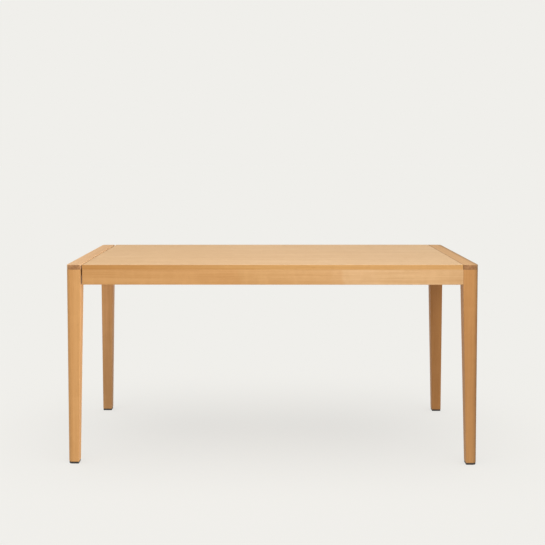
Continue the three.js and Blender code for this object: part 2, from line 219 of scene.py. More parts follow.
    # fine dark lines where the earlywood comes to the surface
    line = g.noise(g.vec("MULTIPLY", p, (420.0, 420.0, 3.0)), 1.0, 2.0, 0.5)
    col = g.mix(g.band(line, 0.56, 0.74, 0.0, lines), col, mul(tone, (0.74, 0.64, 0.50)))
    # tone along the grain: changes from stave to stave, and painted light and shade on some pieces
    if drift:
        lo, hi = drift[0][0], drift[-1][0]
        wav = g.math("MULTIPLY", g.math("SUBTRACT", g.noise(g.vec("MULTIPLY", p, (45.0, 45.0, 4.0)), 1.0, 1.0, 0.5), 0.5), 0.02)
        where = g.math("ADD", g.math("ADD", along, wav), g.math("MULTIPLY", g.math("SUBTRACT", v, 0.703), slant))
        k = g.ramp(g.math("DIVIDE", g.math("SUBTRACT", where, lo), hi - lo),
                   [((x - lo) / (hi - lo), f) for x, f in drift])
        col = g.mix(1.0, col, k, "MULTIPLY")

    # painted light and shade along world X: darker towards an outer arris turned from the light, lighter on a seam wall
    if painted_shading_x:
        top = max(f for _, f in painted_shading_x)
        painted_shading_x = [(x, f / top) for x, f in painted_shading_x]
        lo, hi = painted_shading_x[0][0], painted_shading_x[-1][0]
        k = g.ramp(g.math("DIVIDE", g.math("SUBTRACT", sep.outputs[0], lo), hi - lo),
                   [((x - lo) / (hi - lo), f) for x, f in painted_shading_x])
        col = g.mix(1.0, col, k, "MULTIPLY")

    # end grain
    geo = g.t.nodes.new("ShaderNodeNewGeometry")
    ax = [0.0, 0.0, 0.0]
    ax[axis] = 1.0
    facing = g.math("ABSOLUTE", g.vec("DOT_PRODUCT", geo.outputs["True Normal"], tuple(ax)))
    endmask = g.band(facing, 0.55, 0.92)
    etone = end or mul(tone, (0.58, 0.50, 0.44))
    speck = g.noise(g.vec("MULTIPLY", p, (900.0, 900.0, 900.0)), 1.0, 2.0, 0.6)
    mott = g.noise(g.vec("MULTIPLY", p, (85.0, 85.0, 85.0)), 1.0, 3.0, 0.6)
    ecol = g.mix(g.band(mott, 0.35, 0.68), mul(etone, (0.80, 0.76, 0.72)), mul(etone, (1.18, 1.20, 1.22)))
    ecol = g.mix(g.math("MULTIPLY", g.math("SUBTRACT", 1.0, late), 0.35), ecol, mul(etone, 0.55))
    ecol = g.mix(g.math("MULTIPLY", g.band(speck, 0.52, 0.66), 0.35), ecol, mul(etone, 0.45))
    # the end grain takes the same painted shading along X
    if painted_shading_x:
        ecol = g.mix(1.0, ecol, k, "MULTIPLY")
    col = g.mix(endmask, col, ecol)

    # painted shade: a dark line where two pieces meet, standing for the shadow in the seam
    if seam_shade_line:
        off = g.math("ABSOLUTE", g.math("SUBTRACT", sep.outputs[0], seam_shade_line[0]))
        col = g.mix(g.band(off, seam_shade_line[1] * 0.4, seam_shade_line[1], seam_shade_line[2], 0.0), col, mul(tone, (0.30, 0.20, 0.13)))

    # rubbed arrises
    att = g.t.nodes.new("ShaderNodeAttribute")
    att.attribute_name = "edge"
    rub_n = g.noise(g.vec("MULTIPLY", p, (60.0, 60.0, 22.0)), 1.0, 3.0, 0.65)
    rub = g.math("MULTIPLY", att.outputs["Fac"], g.band(rub_n, 0.40, 0.66), clamp=True)
    col = g.mix(g.math("MULTIPLY", rub, wear), col, mul(tone, (1.12, 1.16, 1.22)))

    g.put(g.bsdf.inputs["Base Color"], col)
    rr = g.math("ADD", rough - 0.05, g.math("MULTIPLY", fibre, 0.10))
    rr = g.math("ADD", rr, g.math("MULTIPLY", pore, 0.15))
    rr = g.math("ADD", rr, g.math("MULTIPLY", endmask, 0.14))
    rr = g.math("ADD", rr, g.math("MULTIPLY", rub, 0.10), clamp=True)
    g.put(g.bsdf.inputs["Roughness"], rr)
    g.bsdf.inputs["IOR"].default_value = 1.48
    g.bsdf.inputs["Specular IOR Level"].default_value = 0.30 if lacquer else 0.20
    g.bsdf.inputs["Coat Weight"].default_value = coat if lacquer else 0.0
    g.bsdf.inputs["Coat Roughness"].default_value = 0.30
    h = g.math("SUBTRACT", g.math("MULTIPLY", fibre, 0.35), g.math("MULTIPLY", pore, 0.9))
    h = g.math("ADD", h, g.math("MULTIPLY", late, 0.18))
    h = g.math("ADD", h, g.math("MULTIPLY", g.math("MULTIPLY", speck, endmask), 0.5))
    g.bump(h, 0.30 if lacquer else 0.55, 0.00035)
    return g.mat


def steel(name, tone=(0.60, 0.60, 0.60), rough=0.34):
    g = Graph(name)
    tc = g.t.nodes.new("ShaderNodeTexCoord")
    p = tc.outputs["Object"]
    fog = g.noise(g.vec("MULTIPLY", p, (140.0, 140.0, 140.0)), 1.0, 4.0, 0.6)
    grit = g.noise(g.vec("MULTIPLY", p, (2600.0, 2600.0, 700.0)), 1.0, 2.0, 0.5)
    att = g.t.nodes.new("ShaderNodeAttribute")
    att.attribute_name = "edge"
    col = g.mix(g.band(fog, 0.35, 0.7), mul(tone, (0.82, 0.83, 0.87)), mul(tone, (1.08, 1.06, 1.02)))
    col = g.mix(g.math("MULTIPLY", att.outputs["Fac"], 0.5, clamp=True), col, mul(tone, 1.25))
    g.put(g.bsdf.inputs["Base Color"], col)
    g.bsdf.inputs["Metallic"].default_value = 1.0
    g.put(g.bsdf.inputs["Roughness"], g.math("ADD", rough - 0.06, g.math("MULTIPLY", fog, 0.2), clamp=True))
    g.bump(grit, 0.25, 0.00012)
    return g.mat


def plastic(name, tone=(0.032, 0.026, 0.021)):
    g = Graph(name)
    tc = g.t.nodes.new("ShaderNodeTexCoord")
    p = tc.outputs["Object"]
    fog = g.noise(g.vec("MULTIPLY", p, (90.0, 90.0, 90.0)), 1.0, 3.0, 0.6)
    grit = g.noise(g.vec("MULTIPLY", p, (2400.0, 2400.0, 2400.0)), 1.0, 2.0, 0.5)
    att = g.t.nodes.new("ShaderNodeAttribute")
    att.attribute_name = "edge"
    col = g.mix(g.band(fog, 0.3, 0.7), mul(tone, 0.8), mul(tone, 1.5))
    col = g.mix(g.math("MULTIPLY", g.math("MULTIPLY", att.outputs["Fac"], fog), 0.6, clamp=True), col, (0.12, 0.105, 0.09, 1))
    g.put(g.bsdf.inputs["Base Color"], col)
    g.put(g.bsdf.inputs["Roughness"], g.math("ADD", 0.46, g.math("MULTIPLY", fog, 0.2)))
    g.bump(grit, 0.4, 0.00015)
    return g.mat


# ------------------------------------------------------------------ mesh helpers
PERM = {"z": (0, 1, 2), "x": (1, 2, 0), "y": (2, 0, 1)}   # (u, v, t) -> world axis numbers


def to_world(axis, u, v, t):
    out = [0.0, 0.0, 0.0]
    for k, x in zip(PERM[axis], (u, v, t)):
        out[k] = x
    return out


def build(name, verts, faces, edge=None):
    me = bpy.data.meshes.new(name)
    me.from_pydata([tuple(v) for v in verts], [], faces)
    me.update()
    if edge is not None:
        a = me.attributes.new("edge", "FLOAT", "POINT")
        a.data.foreach_set("value", edge)
    for p in me.polygons:
        p.use_smooth = True
    ob = bpy.data.objects.new(name, me)
    bpy.context.scene.collection.objects.link(ob)
    return ob


def ends(t0, t1, r0, r1, n=3):
    """Levels (t, inset, edge value) of a slab whose two ends are rounded by r0 and r1."""
    out = []
    for k in range(n + 1):
        th = math.pi / 2 * k / n
        out.append((t0 + r0 * (1 - math.cos(th)), r0 * (1 - math.sin(th)), math.sin(2 * th)))
    for k in range(n, -1, -1):
        th = math.pi / 2 * k / n
        out.append((t1 - r1 * (1 - math.cos(th)), r1 * (1 - math.sin(th)), math.sin(2 * th)))
    return out


def slab(name, axis, rect, levels, radii, n=4):
    """A rounded bar or board. rect(t) -> (u0, u1, v0, v1); radii for the corners
    (u0,v0), (u1,v0), (u1,v1), (u0,v1). A level may bring its own inset for each of the
    four sides u0, u1, v0, v1."""
    verts, edge, faces = [], [], []
    count = 4 * (n + 1)
    for t, inset, ev, *own in levels:
        u0, u1, v0, v1 = rect(t)
        if own:
            u0, u1, v0, v1 = u0 + own[0][0], u1 - own[0][1], v0 + own[0][2], v1 - own[0][3]
        for q, (cu, cv, su, sv) in enumerate(((u0, v0, 1, 1), (u1, v0, -1, 1), (u1, v1, -1, -1), (u0, v1, 1, -1))):
            r = max(radii[q] - inset, 0.00004)
            ou, ov = cu + su * (inset + r), cv + sv * (inset + r)
            a0 = math.pi + q * math.pi / 2
            for k in range(n + 1):
                th = k / n
                a = a0 + th * math.pi / 2
                verts.append(to_world(axis, ou + r * math.cos(a), ov + r * math.sin(a), t))
                corner = math.sin(math.pi * th) if radii[q] > 0.0001 else 0.0
                edge.append(max(ev, corner * (0.6 if inset == 0 else 0.8)))
    rings = len(levels)
    for i in range(rings - 1):
        for j in range(count):
            a, b = i * count + j, i * count + (j + 1) % count
            faces.append((a, b, b + count, a + count))
    faces.append(tuple(range(count - 1, -1, -1)))
    faces.append(tuple(range((rings - 1) * count, rings * count)))
    return build(name, verts, faces, edge)


def eased(t0, t1, r0, tops, n=4):
    """Levels of a slab whose lower end is rounded by r0 and whose four upper arrises
    (u0, u1, v0, v1) each have their own radius."""
    out = ends(t0, t1, r0, 0.0, n=3)[:4]
    depths = sorted({round(r * (1 - math.cos(math.pi / 2 * k / n)), 7) for r in tops for k in range(n + 1)}, reverse=True)
    for d in depths:
        own = tuple(r - math.sqrt(max(0.0, r * r - max(0.0, r - d) ** 2)) if d < r else 0.0 for r in tops)
        share = min(d / max(tops), 1.0)
        out.append((t1 - d, 0.0, 4 * share * (1 - share), own))
    return out


def board(name, axis, lo, hi, r_end=0.0008, r_side=0.0008, n=3):
    """A rounded block between two world corners; axis is the one its outline is drawn along."""
    k = PERM[axis]
    u0, u1, v0, v1, t0, t1 = lo[k[0]], hi[k[0]], lo[k[1]], hi[k[1]], lo[k[2]], hi[k[2]]
    r_end = r_end if isinstance(r_end, tuple) else (r_end, r_end)
    r_side = r_side if isinstance(r_side, tuple) else (r_side,) * 4
    return slab(name, axis, lambda t: (u0, u1, v0, v1), ends(t0, t1, *r_end, n=n), r_side, n)


def outline_bar(name, axis, pts, t0, t1, r=0.0006):
    """An outline (u, v), anticlockwise, drawn from t0 to t1, its edges eased by r."""
    bm = bmesh.new()
    a = [bm.verts.new(to_world(axis, u, v, t0)) for u, v in pts]
    b = [bm.verts.new(to_world(axis, u, v, t1)) for u, v in pts]
    n = len(pts)
    bm.faces.new(a[::-1])
    bm.faces.new(b)
    for i in range(n):
        bm.faces.new((a[i], a[(i + 1) % n], b[(i + 1) % n], b[i]))
    bmesh.ops.recalc_face_normals(bm, faces=bm.faces)
    lay = bm.verts.layers.float.new("edge")
    res = bmesh.ops.bevel(bm, geom=list(bm.edges), offset=r, segments=2, profile=0.5, affect="EDGES")
    for f in bm.faces:
        f.smooth = True
    for v in bm.verts:
        v[lay] = 0.25
    me = bpy.data.meshes.new(name)
    bm.to_mesh(me)
    bm.free()
    ob = bpy.data.objects.new(name, me)
    bpy.context.scene.collection.objects.link(ob)
    return ob


def lathe(name, origin, direction, profile, seg=32, edge=None, turn=0.0):
    """A turned solid: profile of (distance along, radius), first and last on the axis."""
    d = Vector(direction).normalized()
    q = Vector((0, 0, 1)).rotation_difference(d)
    o = Vector(origin)
    verts, ev = [], []
    rows = []
    for i, (t, r) in enumerate(profile):
        if r < 1e-7:
            rows.append([len(verts)])
            verts.append(o + q @ Vector((0, 0, t)))
            ev.append(0.0)
        else:
            row = []
            for k in range(seg):
                a = turn + 2 * math.pi * k / seg
                row.append(len(verts))
                verts.append(o + q @ Vector((r * math.cos(a), r * math.sin(a), t)))
                ev.append(edge[i] if edge else 0.0)
            rows.append(row)
    faces = []
    for a, b in zip(rows, rows[1:]):
        if len(a) == 1:
            faces += [(a[0], b[(k + 1) % seg], b[k]) for k in range(seg)]
        elif len(b) == 1:
            faces += [(a[k], a[(k + 1) % seg], b[0]) for k in range(seg)]
        else:
            faces += [(a[k], a[(k + 1) % seg], b[(k + 1) % seg], b[k]) for k in range(seg)]
    return build(name, verts, faces, ev)


def raw_box(lo, hi):
    xs, ys, zs = zip(lo, hi)
    v = [(x, y, z) for z in (min(zs), max(zs)) for y in (min(ys), max(ys)) for x in (min(xs), max(xs))]
    f = [(0, 2, 3, 1), (4, 5, 7, 6), (0, 1, 5, 4), (2, 6, 7, 3), (0, 4, 6, 2), (1, 3, 7, 5)]
    return build("cutter", v, f, [0.0] * 8)


def raw_bar(origin, direction, r, length, seg=24, turn=0.0):
    return lathe("cutter", origin, direction, [(0, 0), (0, r), (length, r), (length, 0)], seg, turn=turn)


def combine(ob, tools, op="DIFFERENCE"):
    """Cuts the tools from ob, or joins them to it, and keeps the result as ob's mesh."""
    mods = []
    for tl in tools:
        m = ob.modifiers.new("b", "BOOLEAN")
        m.operation, m.object, m.solver = op, tl, "EXACT"
        mods.append(m)
    dg = bpy.context.evaluated_depsgraph_get()
    dg.update()
    me = bpy.data.meshes.new_from_object(ob.evaluated_get(dg), preserve_all_data_layers=True, depsgraph=dg)
    ob.modifiers.clear()
    old = ob.data
    ob.data = me
    me.name = ob.name
    bpy.data.meshes.remove(old)
    for tl in tools:
        d = tl.data
        bpy.data.objects.remove(tl)
        bpy.data.meshes.remove(d)
    for p in ob.data.polygons:
        p.use_smooth = True
    return ob


def dress(ob, body, mat, nodes=(), face_mat=None, sharp=True):
    """Materials, shading, body and CAD nodes of a finished piece."""
    ob.data.materials.clear()
    mats = mat if isinstance(mat, (list, tuple)) else [mat]
    for m in mats:
        ob.data.materials.append(m)
    if face_mat:
        for p in ob.data.polygons:
            p.material_index = face_mat(p)
    w = ob.modifiers.new("weighted", "WEIGHTED_NORMAL")
    w.keep_sharp = True
    w.weight = 80
    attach(ob, body)
    if nodes:
        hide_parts(*nodes)
    PIECES.append(ob)
    return ob


PIECES = []

# ------------------------------------------------------------------ sizes, all from the CAD boxes
B = {n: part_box(n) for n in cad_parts}
TOP_LO, TOP_HI = B["top_centre_panel"]
Z_TOP, Z_U = TOP_HI.z, TOP_LO.z
Z_A = B["apron_front"][0].z
Z_G = B["leg_front_left"][0].z                  # top of the glides, foot of the wood
X_OUT, Y_OUT = CAD_HI.x, CAD_HI.y
LEG = B["leg_front_right"][1].x - B["leg_front_right"][0].x
LEG_L = B["leg_front_left"][1].x - B["leg_front_left"][0].x
FOOT = B["glide_front_left"][1].x - B["glide_front_left"][0].x + 0.0015
APRON_T = B["apron_end_left"][1].x - B["apron_end_left"][0].x
X_IN = X_OUT - LEG                              # seam of the fixed end, right
X_IL = X_OUT - LEG_L                            # inner faces of the sliding end, left
Y_IN = Y_OUT - LEG
X_C = TOP_LO.x                                  # left end of the fixed unit
Z_T0, Z_T1 = Z_A + 0.008, Z_A + 0.048           # tenons
FIT = 0.0003
# painted shade: the outer arris of the right leg and right end board darkens towards the edge, standing for the shade
# on the rounding turned from the light
PAINTED_ARRIS_SHADE = [(X_OUT - 0.019, 1.0), (X_OUT - 0.015, 0.93), (X_OUT - 0.011, 0.83), (X_OUT - 0.0075, 0.78),
         (X_OUT - 0.004, 0.66), (X_OUT, 0.50)]
# painted light: the left end board is lighter along its inner wall at the seam, standing for light falling into the gap
PAINTED_SEAM_WALL_LIGHT = [(-X_IL - 0.010, 1.0), (-X_IL - 0.0035, 1.0), (-X_IL - 0.0015, 1.30), (-X_IL + 0.001, 1.32)]
SEAM_SHADE = (X_IN, 0.0019, 0.9)                      # tight seam of the fixed end board, drawn with a painted dark line of shade

# ------------------------------------------------------------------ finishes
T = {
    "top": lin((217, 180, 136)), "lip": lin((206, 154, 94)),
    "end_l": lin((214, 174, 131)), "end_r": lin((196, 155, 110)),
    "end_grain": lin((165, 118, 76)),
    "apron": lin((214, 165, 108)), "apron_b": lin((212, 164, 108)),
    "fl": lin((204, 152, 94)), "fr": lin((190, 136, 80)),
    "bl": lin((213, 161, 107)), "br": lin((183, 130, 76)),
    "side": lin((208, 158, 103)), "inner": lin((212, 178, 128)), "peg": lin((196, 150, 98)),
}
M = {
    "top": wood("top_veneer", 0, T["top"], 1.0, centre=(0.9, -0.18), ring=0.0042, streak=0.13, rough=0.44, coat=0.10,
                seam_shade_line=SEAM_SHADE, drift=[(-0.72, 1.0), (-0.30, 1.0), (0.0, (1.01, 1.02, 1.05)), (0.45, (0.98, 0.995, 1.03)),
                                    (0.72, (0.965, 0.985, 1.015))]),
    # lipping: darker and more orange to the left, partly its tone and partly painted shade standing for weaker light on
    # that side
    "lip": wood("top_lipping", 0, T["lip"], 2.3, centre=(-0.45, 0.66), ring=0.0030, streak=0.17, seam_shade_line=SEAM_SHADE,
                drift=[(-0.72, (0.86, 0.79, 0.66)), (-0.35, (0.90, 0.87, 0.80)), (0.0, (1.0, 1.03, 1.02)), (0.75, (0.98, 1.01, 1.04))]),
    "end_l": wood("end_board_left", 1, T["end_l"], 3.1, centre=(0.68, -0.80), ring=0.0034, end=T["end_grain"],
                  wear=0.15, painted_shading_x=PAINTED_SEAM_WALL_LIGHT),
    "end_r": wood("end_board_right", 1, T["end_r"], 4.7, centre=(0.69, 0.70), ring=0.0036, end=T["end_grain"],
                  seam_shade_line=SEAM_SHADE, painted_shading_x=PAINTED_ARRIS_SHADE),
    # front apron: tone from stave to stave, and a painted sheen: the lighter, bluer right part stands for a reflection
    # of the key light
    "apron_f": wood("apron_front", 0, T["apron"], 5.9, centre=(-0.36, 0.52), ring=0.0038, streak=0.20,
                    figure=0.07, slant=0.22, lines=0.55,
                    drift=[(-0.72, (0.93, 0.885, 0.82)), (-0.30, (0.945, 0.90, 0.85)), (-0.125, (0.95, 0.91, 0.87)),
                           (-0.115, (0.96, 0.955, 0.945)), (0.05, (0.96, 0.97, 1.00)), (0.215, (0.97, 0.99, 1.06)),
                           (0.225, (0.99, 1.03, 1.15)), (0.258, (0.98, 1.01, 1.12)), (0.266, (1.02, 1.12, 1.36)),
                           (0.375, (1.02, 1.12, 1.38)), (0.385, (1.00, 1.09, 1.31)), (0.60, (1.00, 1.09, 1.31)),
                           (0.69, (0.93, 0.99, 1.16)), (0.75, (0.90, 0.95, 1.08))]),
    "apron_b": wood("apron_back", 0, T["apron_b"], 6.4, centre=(0.40, 0.55), ring=0.0036, streak=0.20,
                    lines=0.5, drift=[(-0.72, 1.05), (-0.20, 1.02), (-0.19, 0.94), (0.75, 0.97)]),
    "apron_l": wood("apron_end_left", 1, T["side"], 7.7, centre=(0.60, -0.70), ring=0.0036),
    "apron_r": wood("apron_end_right", 1, T["side"], 8.2, centre=(0.58, 0.70), ring=0.0036),
    "fl": wood("leg_front_left", 2, T["fl"], 9.3, centre=(-0.66, -0.30), ring=0.0034, streak=0.20),
    "fr": wood("leg_front_right", 2, T["fr"], 10.1, centre=(0.85, -0.27), ring=0.0032, streak=0.20, painted_shading_x=PAINTED_ARRIS_SHADE,
               drift=[(0.0, (1.03, 1.10, 1.22)), (0.25, (0.96, 0.98, 1.02)), (0.52, 0.97), (0.66, (1.03, 1.05, 1.08)), (0.75, (1.03, 1.05, 1.08))]),
    "bl": wood("leg_back_left", 2, T["bl"], 11.6, centre=(-0.83, 0.27), ring=0.0035, streak=0.20,
               drift=[(0.0, 0.88), (0.25, 0.97), (0.45, (1.08, 1.07, 1.07)), (0.75, (1.12, 1.12, 1.12))]),
    # back right leg: darker towards the top, painted shade standing for the shadow of the apron and top
    "br": wood("leg_back_right", 2, T["br"], 12.4, centre=(0.66, 0.30), ring=0.0033, streak=0.20,
               drift=[(0.0, 1.0), (0.42, 1.0), (0.56, (0.84, 0.81, 0.78)), (0.68, (0.74, 0.69, 0.62)), (0.75, (0.74, 0.69, 0.62))]),
    "leaf": wood("leaf_veneer", 0, T["top"], 13.0, centre=(0.7, 0.20), ring=0.0041, streak=0.13, rough=0.44, coat=0.10),
    "inner_x": wood("inner_timber_x", 0, T["inner"], 14.2, centre=(-0.30, 0.62), rough=0.62, lacquer=False),
    "inner_y": wood("inner_timber_y", 1, T["inner"], 15.5, centre=(0.58, -0.3), rough=0.62, lacquer=False),
    "inner_d": wood("brace_timber", 2, T["inner"], 16.9, centre=(0.58, -0.3), rough=0.62, lacquer=False),
    "peg_x": wood("peg_timber_x", 0, T["peg"], 17.1, centre=(-0.05, 0.70), ring=0.002, rough=0.55, lacquer=False),
    "peg_y": wood("peg_timber_y", 1, T["peg"], 18.1, centre=(0.70, -0.3), ring=0.002, rough=0.55, lacquer=False),
    "peg_z": wood("peg_timber_z", 2, T["peg"], 19.1, centre=(-0.05, 0.3), ring=0.002, rough=0.55, lacquer=False),
    "steel": steel("zinc_steel"),
    "black": plastic("glide_plastic"),
}

# ------------------------------------------------------------------ top
PITCH = 0.254
Z_P = (Z_TOP + Z_U) / 2


def lipped(p):
    return 1 if abs(p.normal.y) > 0.75 else 0


panel = slab("centre_top", "z", lambda t: (X_C, X_IN, -Y_OUT, Y_OUT),
             eased(Z_U, Z_TOP, 0.0004, (0.0018, 0.0008, 0.0012, 0.0012)), (0.0009,) * 4, 3)
cuts = [raw_bar((X_C - 0.002, i * PITCH, Z_P), (1, 0, 0), 0.0055, 0.018) for i in (-1, 0, 1)]
cuts.append(raw_box((X_IN - 0.008, -0.33, Z_P - 0.003), (X_IN + 0.002, 0.33, Z_P + 0.003)))
combine(panel, cuts)
dress(panel, ROOT, [M["top"], M["lip"]], ["top_centre_panel"], lipped)

for side, sx, body in (("left", -1, LEFT), ("right", 1, ROOT)):
    xi = -X_IL if sx < 0 else X_IN
    lo = (min(sx * X_OUT, xi), -Y_OUT, Z_U)
    hi = (max(sx * X_OUT, xi), Y_OUT, Z_TOP)
    big, small = 0.0150, 0.0009
    rad = (big, small, small, big) if sx < 0 else (small, big, big, small)
    # the arris along the seam: well rounded on the sliding end, a small groove on the fixed one
    top_r = (0.0012, 0.0040, 0.0012, 0.0012) if sx < 0 else (0.0008, 0.0012, 0.0012, 0.0012)
    eb = slab(f"end_board_{side}", "z", lambda t, lo=lo, hi=hi: (lo[0], hi[0], lo[1], hi[1]),
              eased(Z_U, Z_TOP, 0.0005, top_r), rad, 6)
    cuts = [raw_bar((sx * (X_OUT - LEG / 2), sy * (Y_OUT - LEG / 2), Z_U - 0.002), (0, 0, 1), 0.0053, 0.014)
            for sy in (-1, 1)]
    if sx < 0:
        cuts += [raw_bar((-X_IL - 0.020, i * PITCH, Z_P), (1, 0, 0), 0.0053, 0.024) for i in (-1, 0, 1)]
    else:
        cuts.append(raw_box((X_IN - 0.002, -0.33, Z_P - 0.003), (X_IN + 0.008, 0.33, Z_P + 0.003)))
    combine(eb, cuts)
    dress(eb, body, M["end_l" if sx < 0 else "end_r"], [f"top_end_board_{side}"])

# ------------------------------------------------------------------ legs and glides
for name, sx, sy, key in (("front_left", -1, -1, "fl"), ("back_left", -1, 1, "bl"),
                          ("front_right", 1, -1, "fr"), ("back_right", 1, 1, "br")):
    body = LEFT if sx < 0 else ROOT

    def rect(t, sx=sx, sy=sy):
        k = min((t - Z_G) / (Z_A - Z_G), 1.0)
        wx, wy = FOOT + ((LEG if sx > 0 else LEG_L) - FOOT) * k, FOOT + (LEG - FOOT) * k
        xs = sorted((sx * X_OUT, sx * (X_OUT - wx)))
        ys = sorted((sy * Y_OUT, sy * (Y_OUT - wy)))
        return xs[0], xs[1], ys[0], ys[1]

    lv = ends(Z_G, Z_U, 0.0018, 0.0004, n=3)
    lv = lv[:4] + [(Z_A - 0.004, 0.0, 0.0), (Z_A, 0.0, 0.0), (Z_A + 0.003, 0.0, 0.0)] + lv[4:]
    outer = {(-1, -1): 0, (1, -1): 1, (1, 1): 2, (-1, 1): 3}[(sx, sy)]
    rad = [0.0020] * 4
    rad[outer] = 0.0150
    leg = slab(f"leg_{name}_wood", "z", rect, lv, rad, n=6)
    xm = sx * (X_OUT - APRON_T / 2)
    cuts = [raw_box((xm - 0.0053, sy * (Y_IN - 0.001), Z_T0 - FIT), (xm + 0.0053, sy * (Y_IN + 0.025), Z_T1 + FIT)),
            raw_bar((sx * (X_OUT - LEG / 2), sy * (Y_OUT - LEG / 2), Z_U - 0.024), (0, 0, 1), 0.0053, 0.030),
            raw_bar((sx * (X_OUT - FOOT / 2), sy * (Y_OUT - FOOT / 2), Z_G - 0.005), (0, 0, 1), 0.0043, 0.022)]
    if sx > 0:
        ym = sy * (Y_OUT - APRON_T / 2)
        cuts.append(raw_box((X_IN - 0.001, ym - 0.0053, Z_T0 - FIT), (X_IN + 0.025, ym + 0.0053, Z_T1 + FIT)))
        cuts.append(raw_bar((X_IN - 0.003, sy * (Y_IN - 0.003), 0.697), (1, sy, 0), 0.0043, 0.0333))
    combine(leg, cuts)
    dress(leg, body, M[key], [f"leg_{name}"])

    lo, hi = B[f"glide_{name}"]
    grad = [0.0022] * 4
    grad[outer] = 0.01425
    gl = board(f"glide_{name}_pad", "z", (lo.x, lo.y, 0.0), (hi.x, hi.y, Z_G), (0.0010, 0.0004), tuple(grad), n=6)
    stem = lathe("cutter", (sx * (X_OUT - FOOT / 2), sy * (Y_OUT - FOOT / 2), Z_G - 0.002), (0, 0, 1),
                 [(0, 0), (0, 0.004), (0.006, 0.004), (0.007, 0.0035), (0.008, 0.004), (0.010, 0.0035),
                  (0.011, 0.004), (0.013, 0.0035), (0.014, 0.004), (0.017, 0.0025), (0.017, 0)], 20)
    combine(gl, [stem], "UNION")
    dress(gl, body, M["black"], [f"glide_{name}"])

# ------------------------------------------------------------------ aprons
BAT = {s: B[f"leaf_rest_batten_{s}"] for s in ("left", "right")}
for side, sy in (("front", -1), ("back", 1)):
    y0, y1 = sorted((sy * Y_OUT, sy * (Y_OUT - APRON_T)))
    ap = board(f"apron_{side}_rail", "x", (X_C, y0, Z_A), (X_IN, y1, Z_U), (0.0008, 0.0003),
               (0.0014, 0.0014, 0.0004, 0.0004))
    ym = sy * (Y_OUT - APRON_T / 2)
    combine(ap, [raw_box((X_IN - 0.001, ym - 0.005, Z_T0), (X_IN + 0.0245, ym + 0.005, Z_T1))], "UNION")
    cuts = []
    for s in BAT:
        lo, hi = BAT[s]
        cuts.append(raw_box((lo.x + 0.005 - FIT, sy * (Y_OUT - APRON_T - 0.002), lo.z + 0.004 - FIT),
                            (hi.x - 0.005 + FIT, sy * (Y_OUT - APRON_T + 0.0085), hi.z - 0.004 + FIT)))
    combine(ap, cuts)
    dress(ap, ROOT, M["apron_f" if sy < 0 else "apron_b"], [f"apron_{side}"])

RUN_LO, RUN_HI = B["runner_front"]
RUN_YI = abs(RUN_HI.y)                      # inner face of a runner
for side, sx, body in (("left", -1, LEFT), ("right", 1, ROOT)):
    x0, x1 = sorted((sx * X_OUT, sx * (X_OUT - APRON_T)))
    ap = board(f"apron_end_{side}_rail", "y", (x0, -Y_IN, Z_A), (x1, Y_IN, Z_U), (0.0003, 0.0003),
               (0.0014, 0.0004, 0.0004, 0.0014))
    xm = sx * (X_OUT - APRON_T / 2)
    combine(ap, [raw_box((xm - 0.005, sy * (Y_IN - 0.001), Z_T0), (xm + 0.005, sy * (Y_IN + 0.0245), Z_T1))
                 for sy in (-1, 1)], "UNION")
    if sx < 0:
        combine(ap, [raw_bar((-X_OUT + APRON_T - 0.013, sy * (RUN_YI - 0.022), 0.7145), (1, 0, 0), 0.0023, 0.016)
                     for sy in (-1, 1)])
    dress(ap, body, M["apron_l" if sx < 0 else "apron_r"], [f"apron_end_{side}"])

# ------------------------------------------------------------------ rails, runners, tie, stops
RAIL_LO, RAIL_HI = B["guide_rail_front"]
RAIL_X = (-0.640, -0.220, 0.200)
SCREW_Y = Y_OUT - APRON_T - 0.016


def mirrored(pts, sy):
    """An outline drawn for the back (+Y) side, turned over for the front."""
    return [(sy * y, z) for y, z in (pts if sy > 0 else pts[::-1])]


def pan_screw(name, body, origin, direction, head_r, head_h, r, length):
    """Pan-head wood screw; origin is the top of its head, direction the way it goes in."""
    p, e = [(0, 0)], [0]
    for k in range(1, 7):
        a = math.pi / 2 * k / 6
        p.append((head_h * 0.75 * (1 - math.cos(a)), head_r * math.sin(a)))
        e.append(0.5 if k > 3 else 0.0)
    p += [(head_h, head_r), (head_h, r)]
    e += [0.6, 0.0]
    t = head_h + 0.002
    while t < head_h + length - 0.004:
        p += [(t, r * 0.74), (t + 0.0006, r * 0.74), (t + 0.0009, r), (t + 0.0011, r)]
        e += [0, 0, 0.6, 0.6]
        t += 0.0015
    p += [(t, r * 0.74), (head_h + length, 0.0)]
    e += [0, 0]
    ob = lathe(name, origin, direction, p, 24, e)
    d = Vector(direction).normalized()
    q = Vector((0, 0, 1)).rotation_difference(d)
    w, ln = head_r * 0.17, head_r * 0.62
    for k in (0, 1):
        a, b = (ln, w) if k == 0 else (w, ln)
        c = raw_box((-a, -b, -0.001), (a, b, head_h * 0.6))
        c.data.transform(Matrix.Translation(Vector(origin)) @ q.to_matrix().to_4x4())
        combine(ob, [c])
    dress(ob, body, M["steel"], [name.replace("_turned", "")])


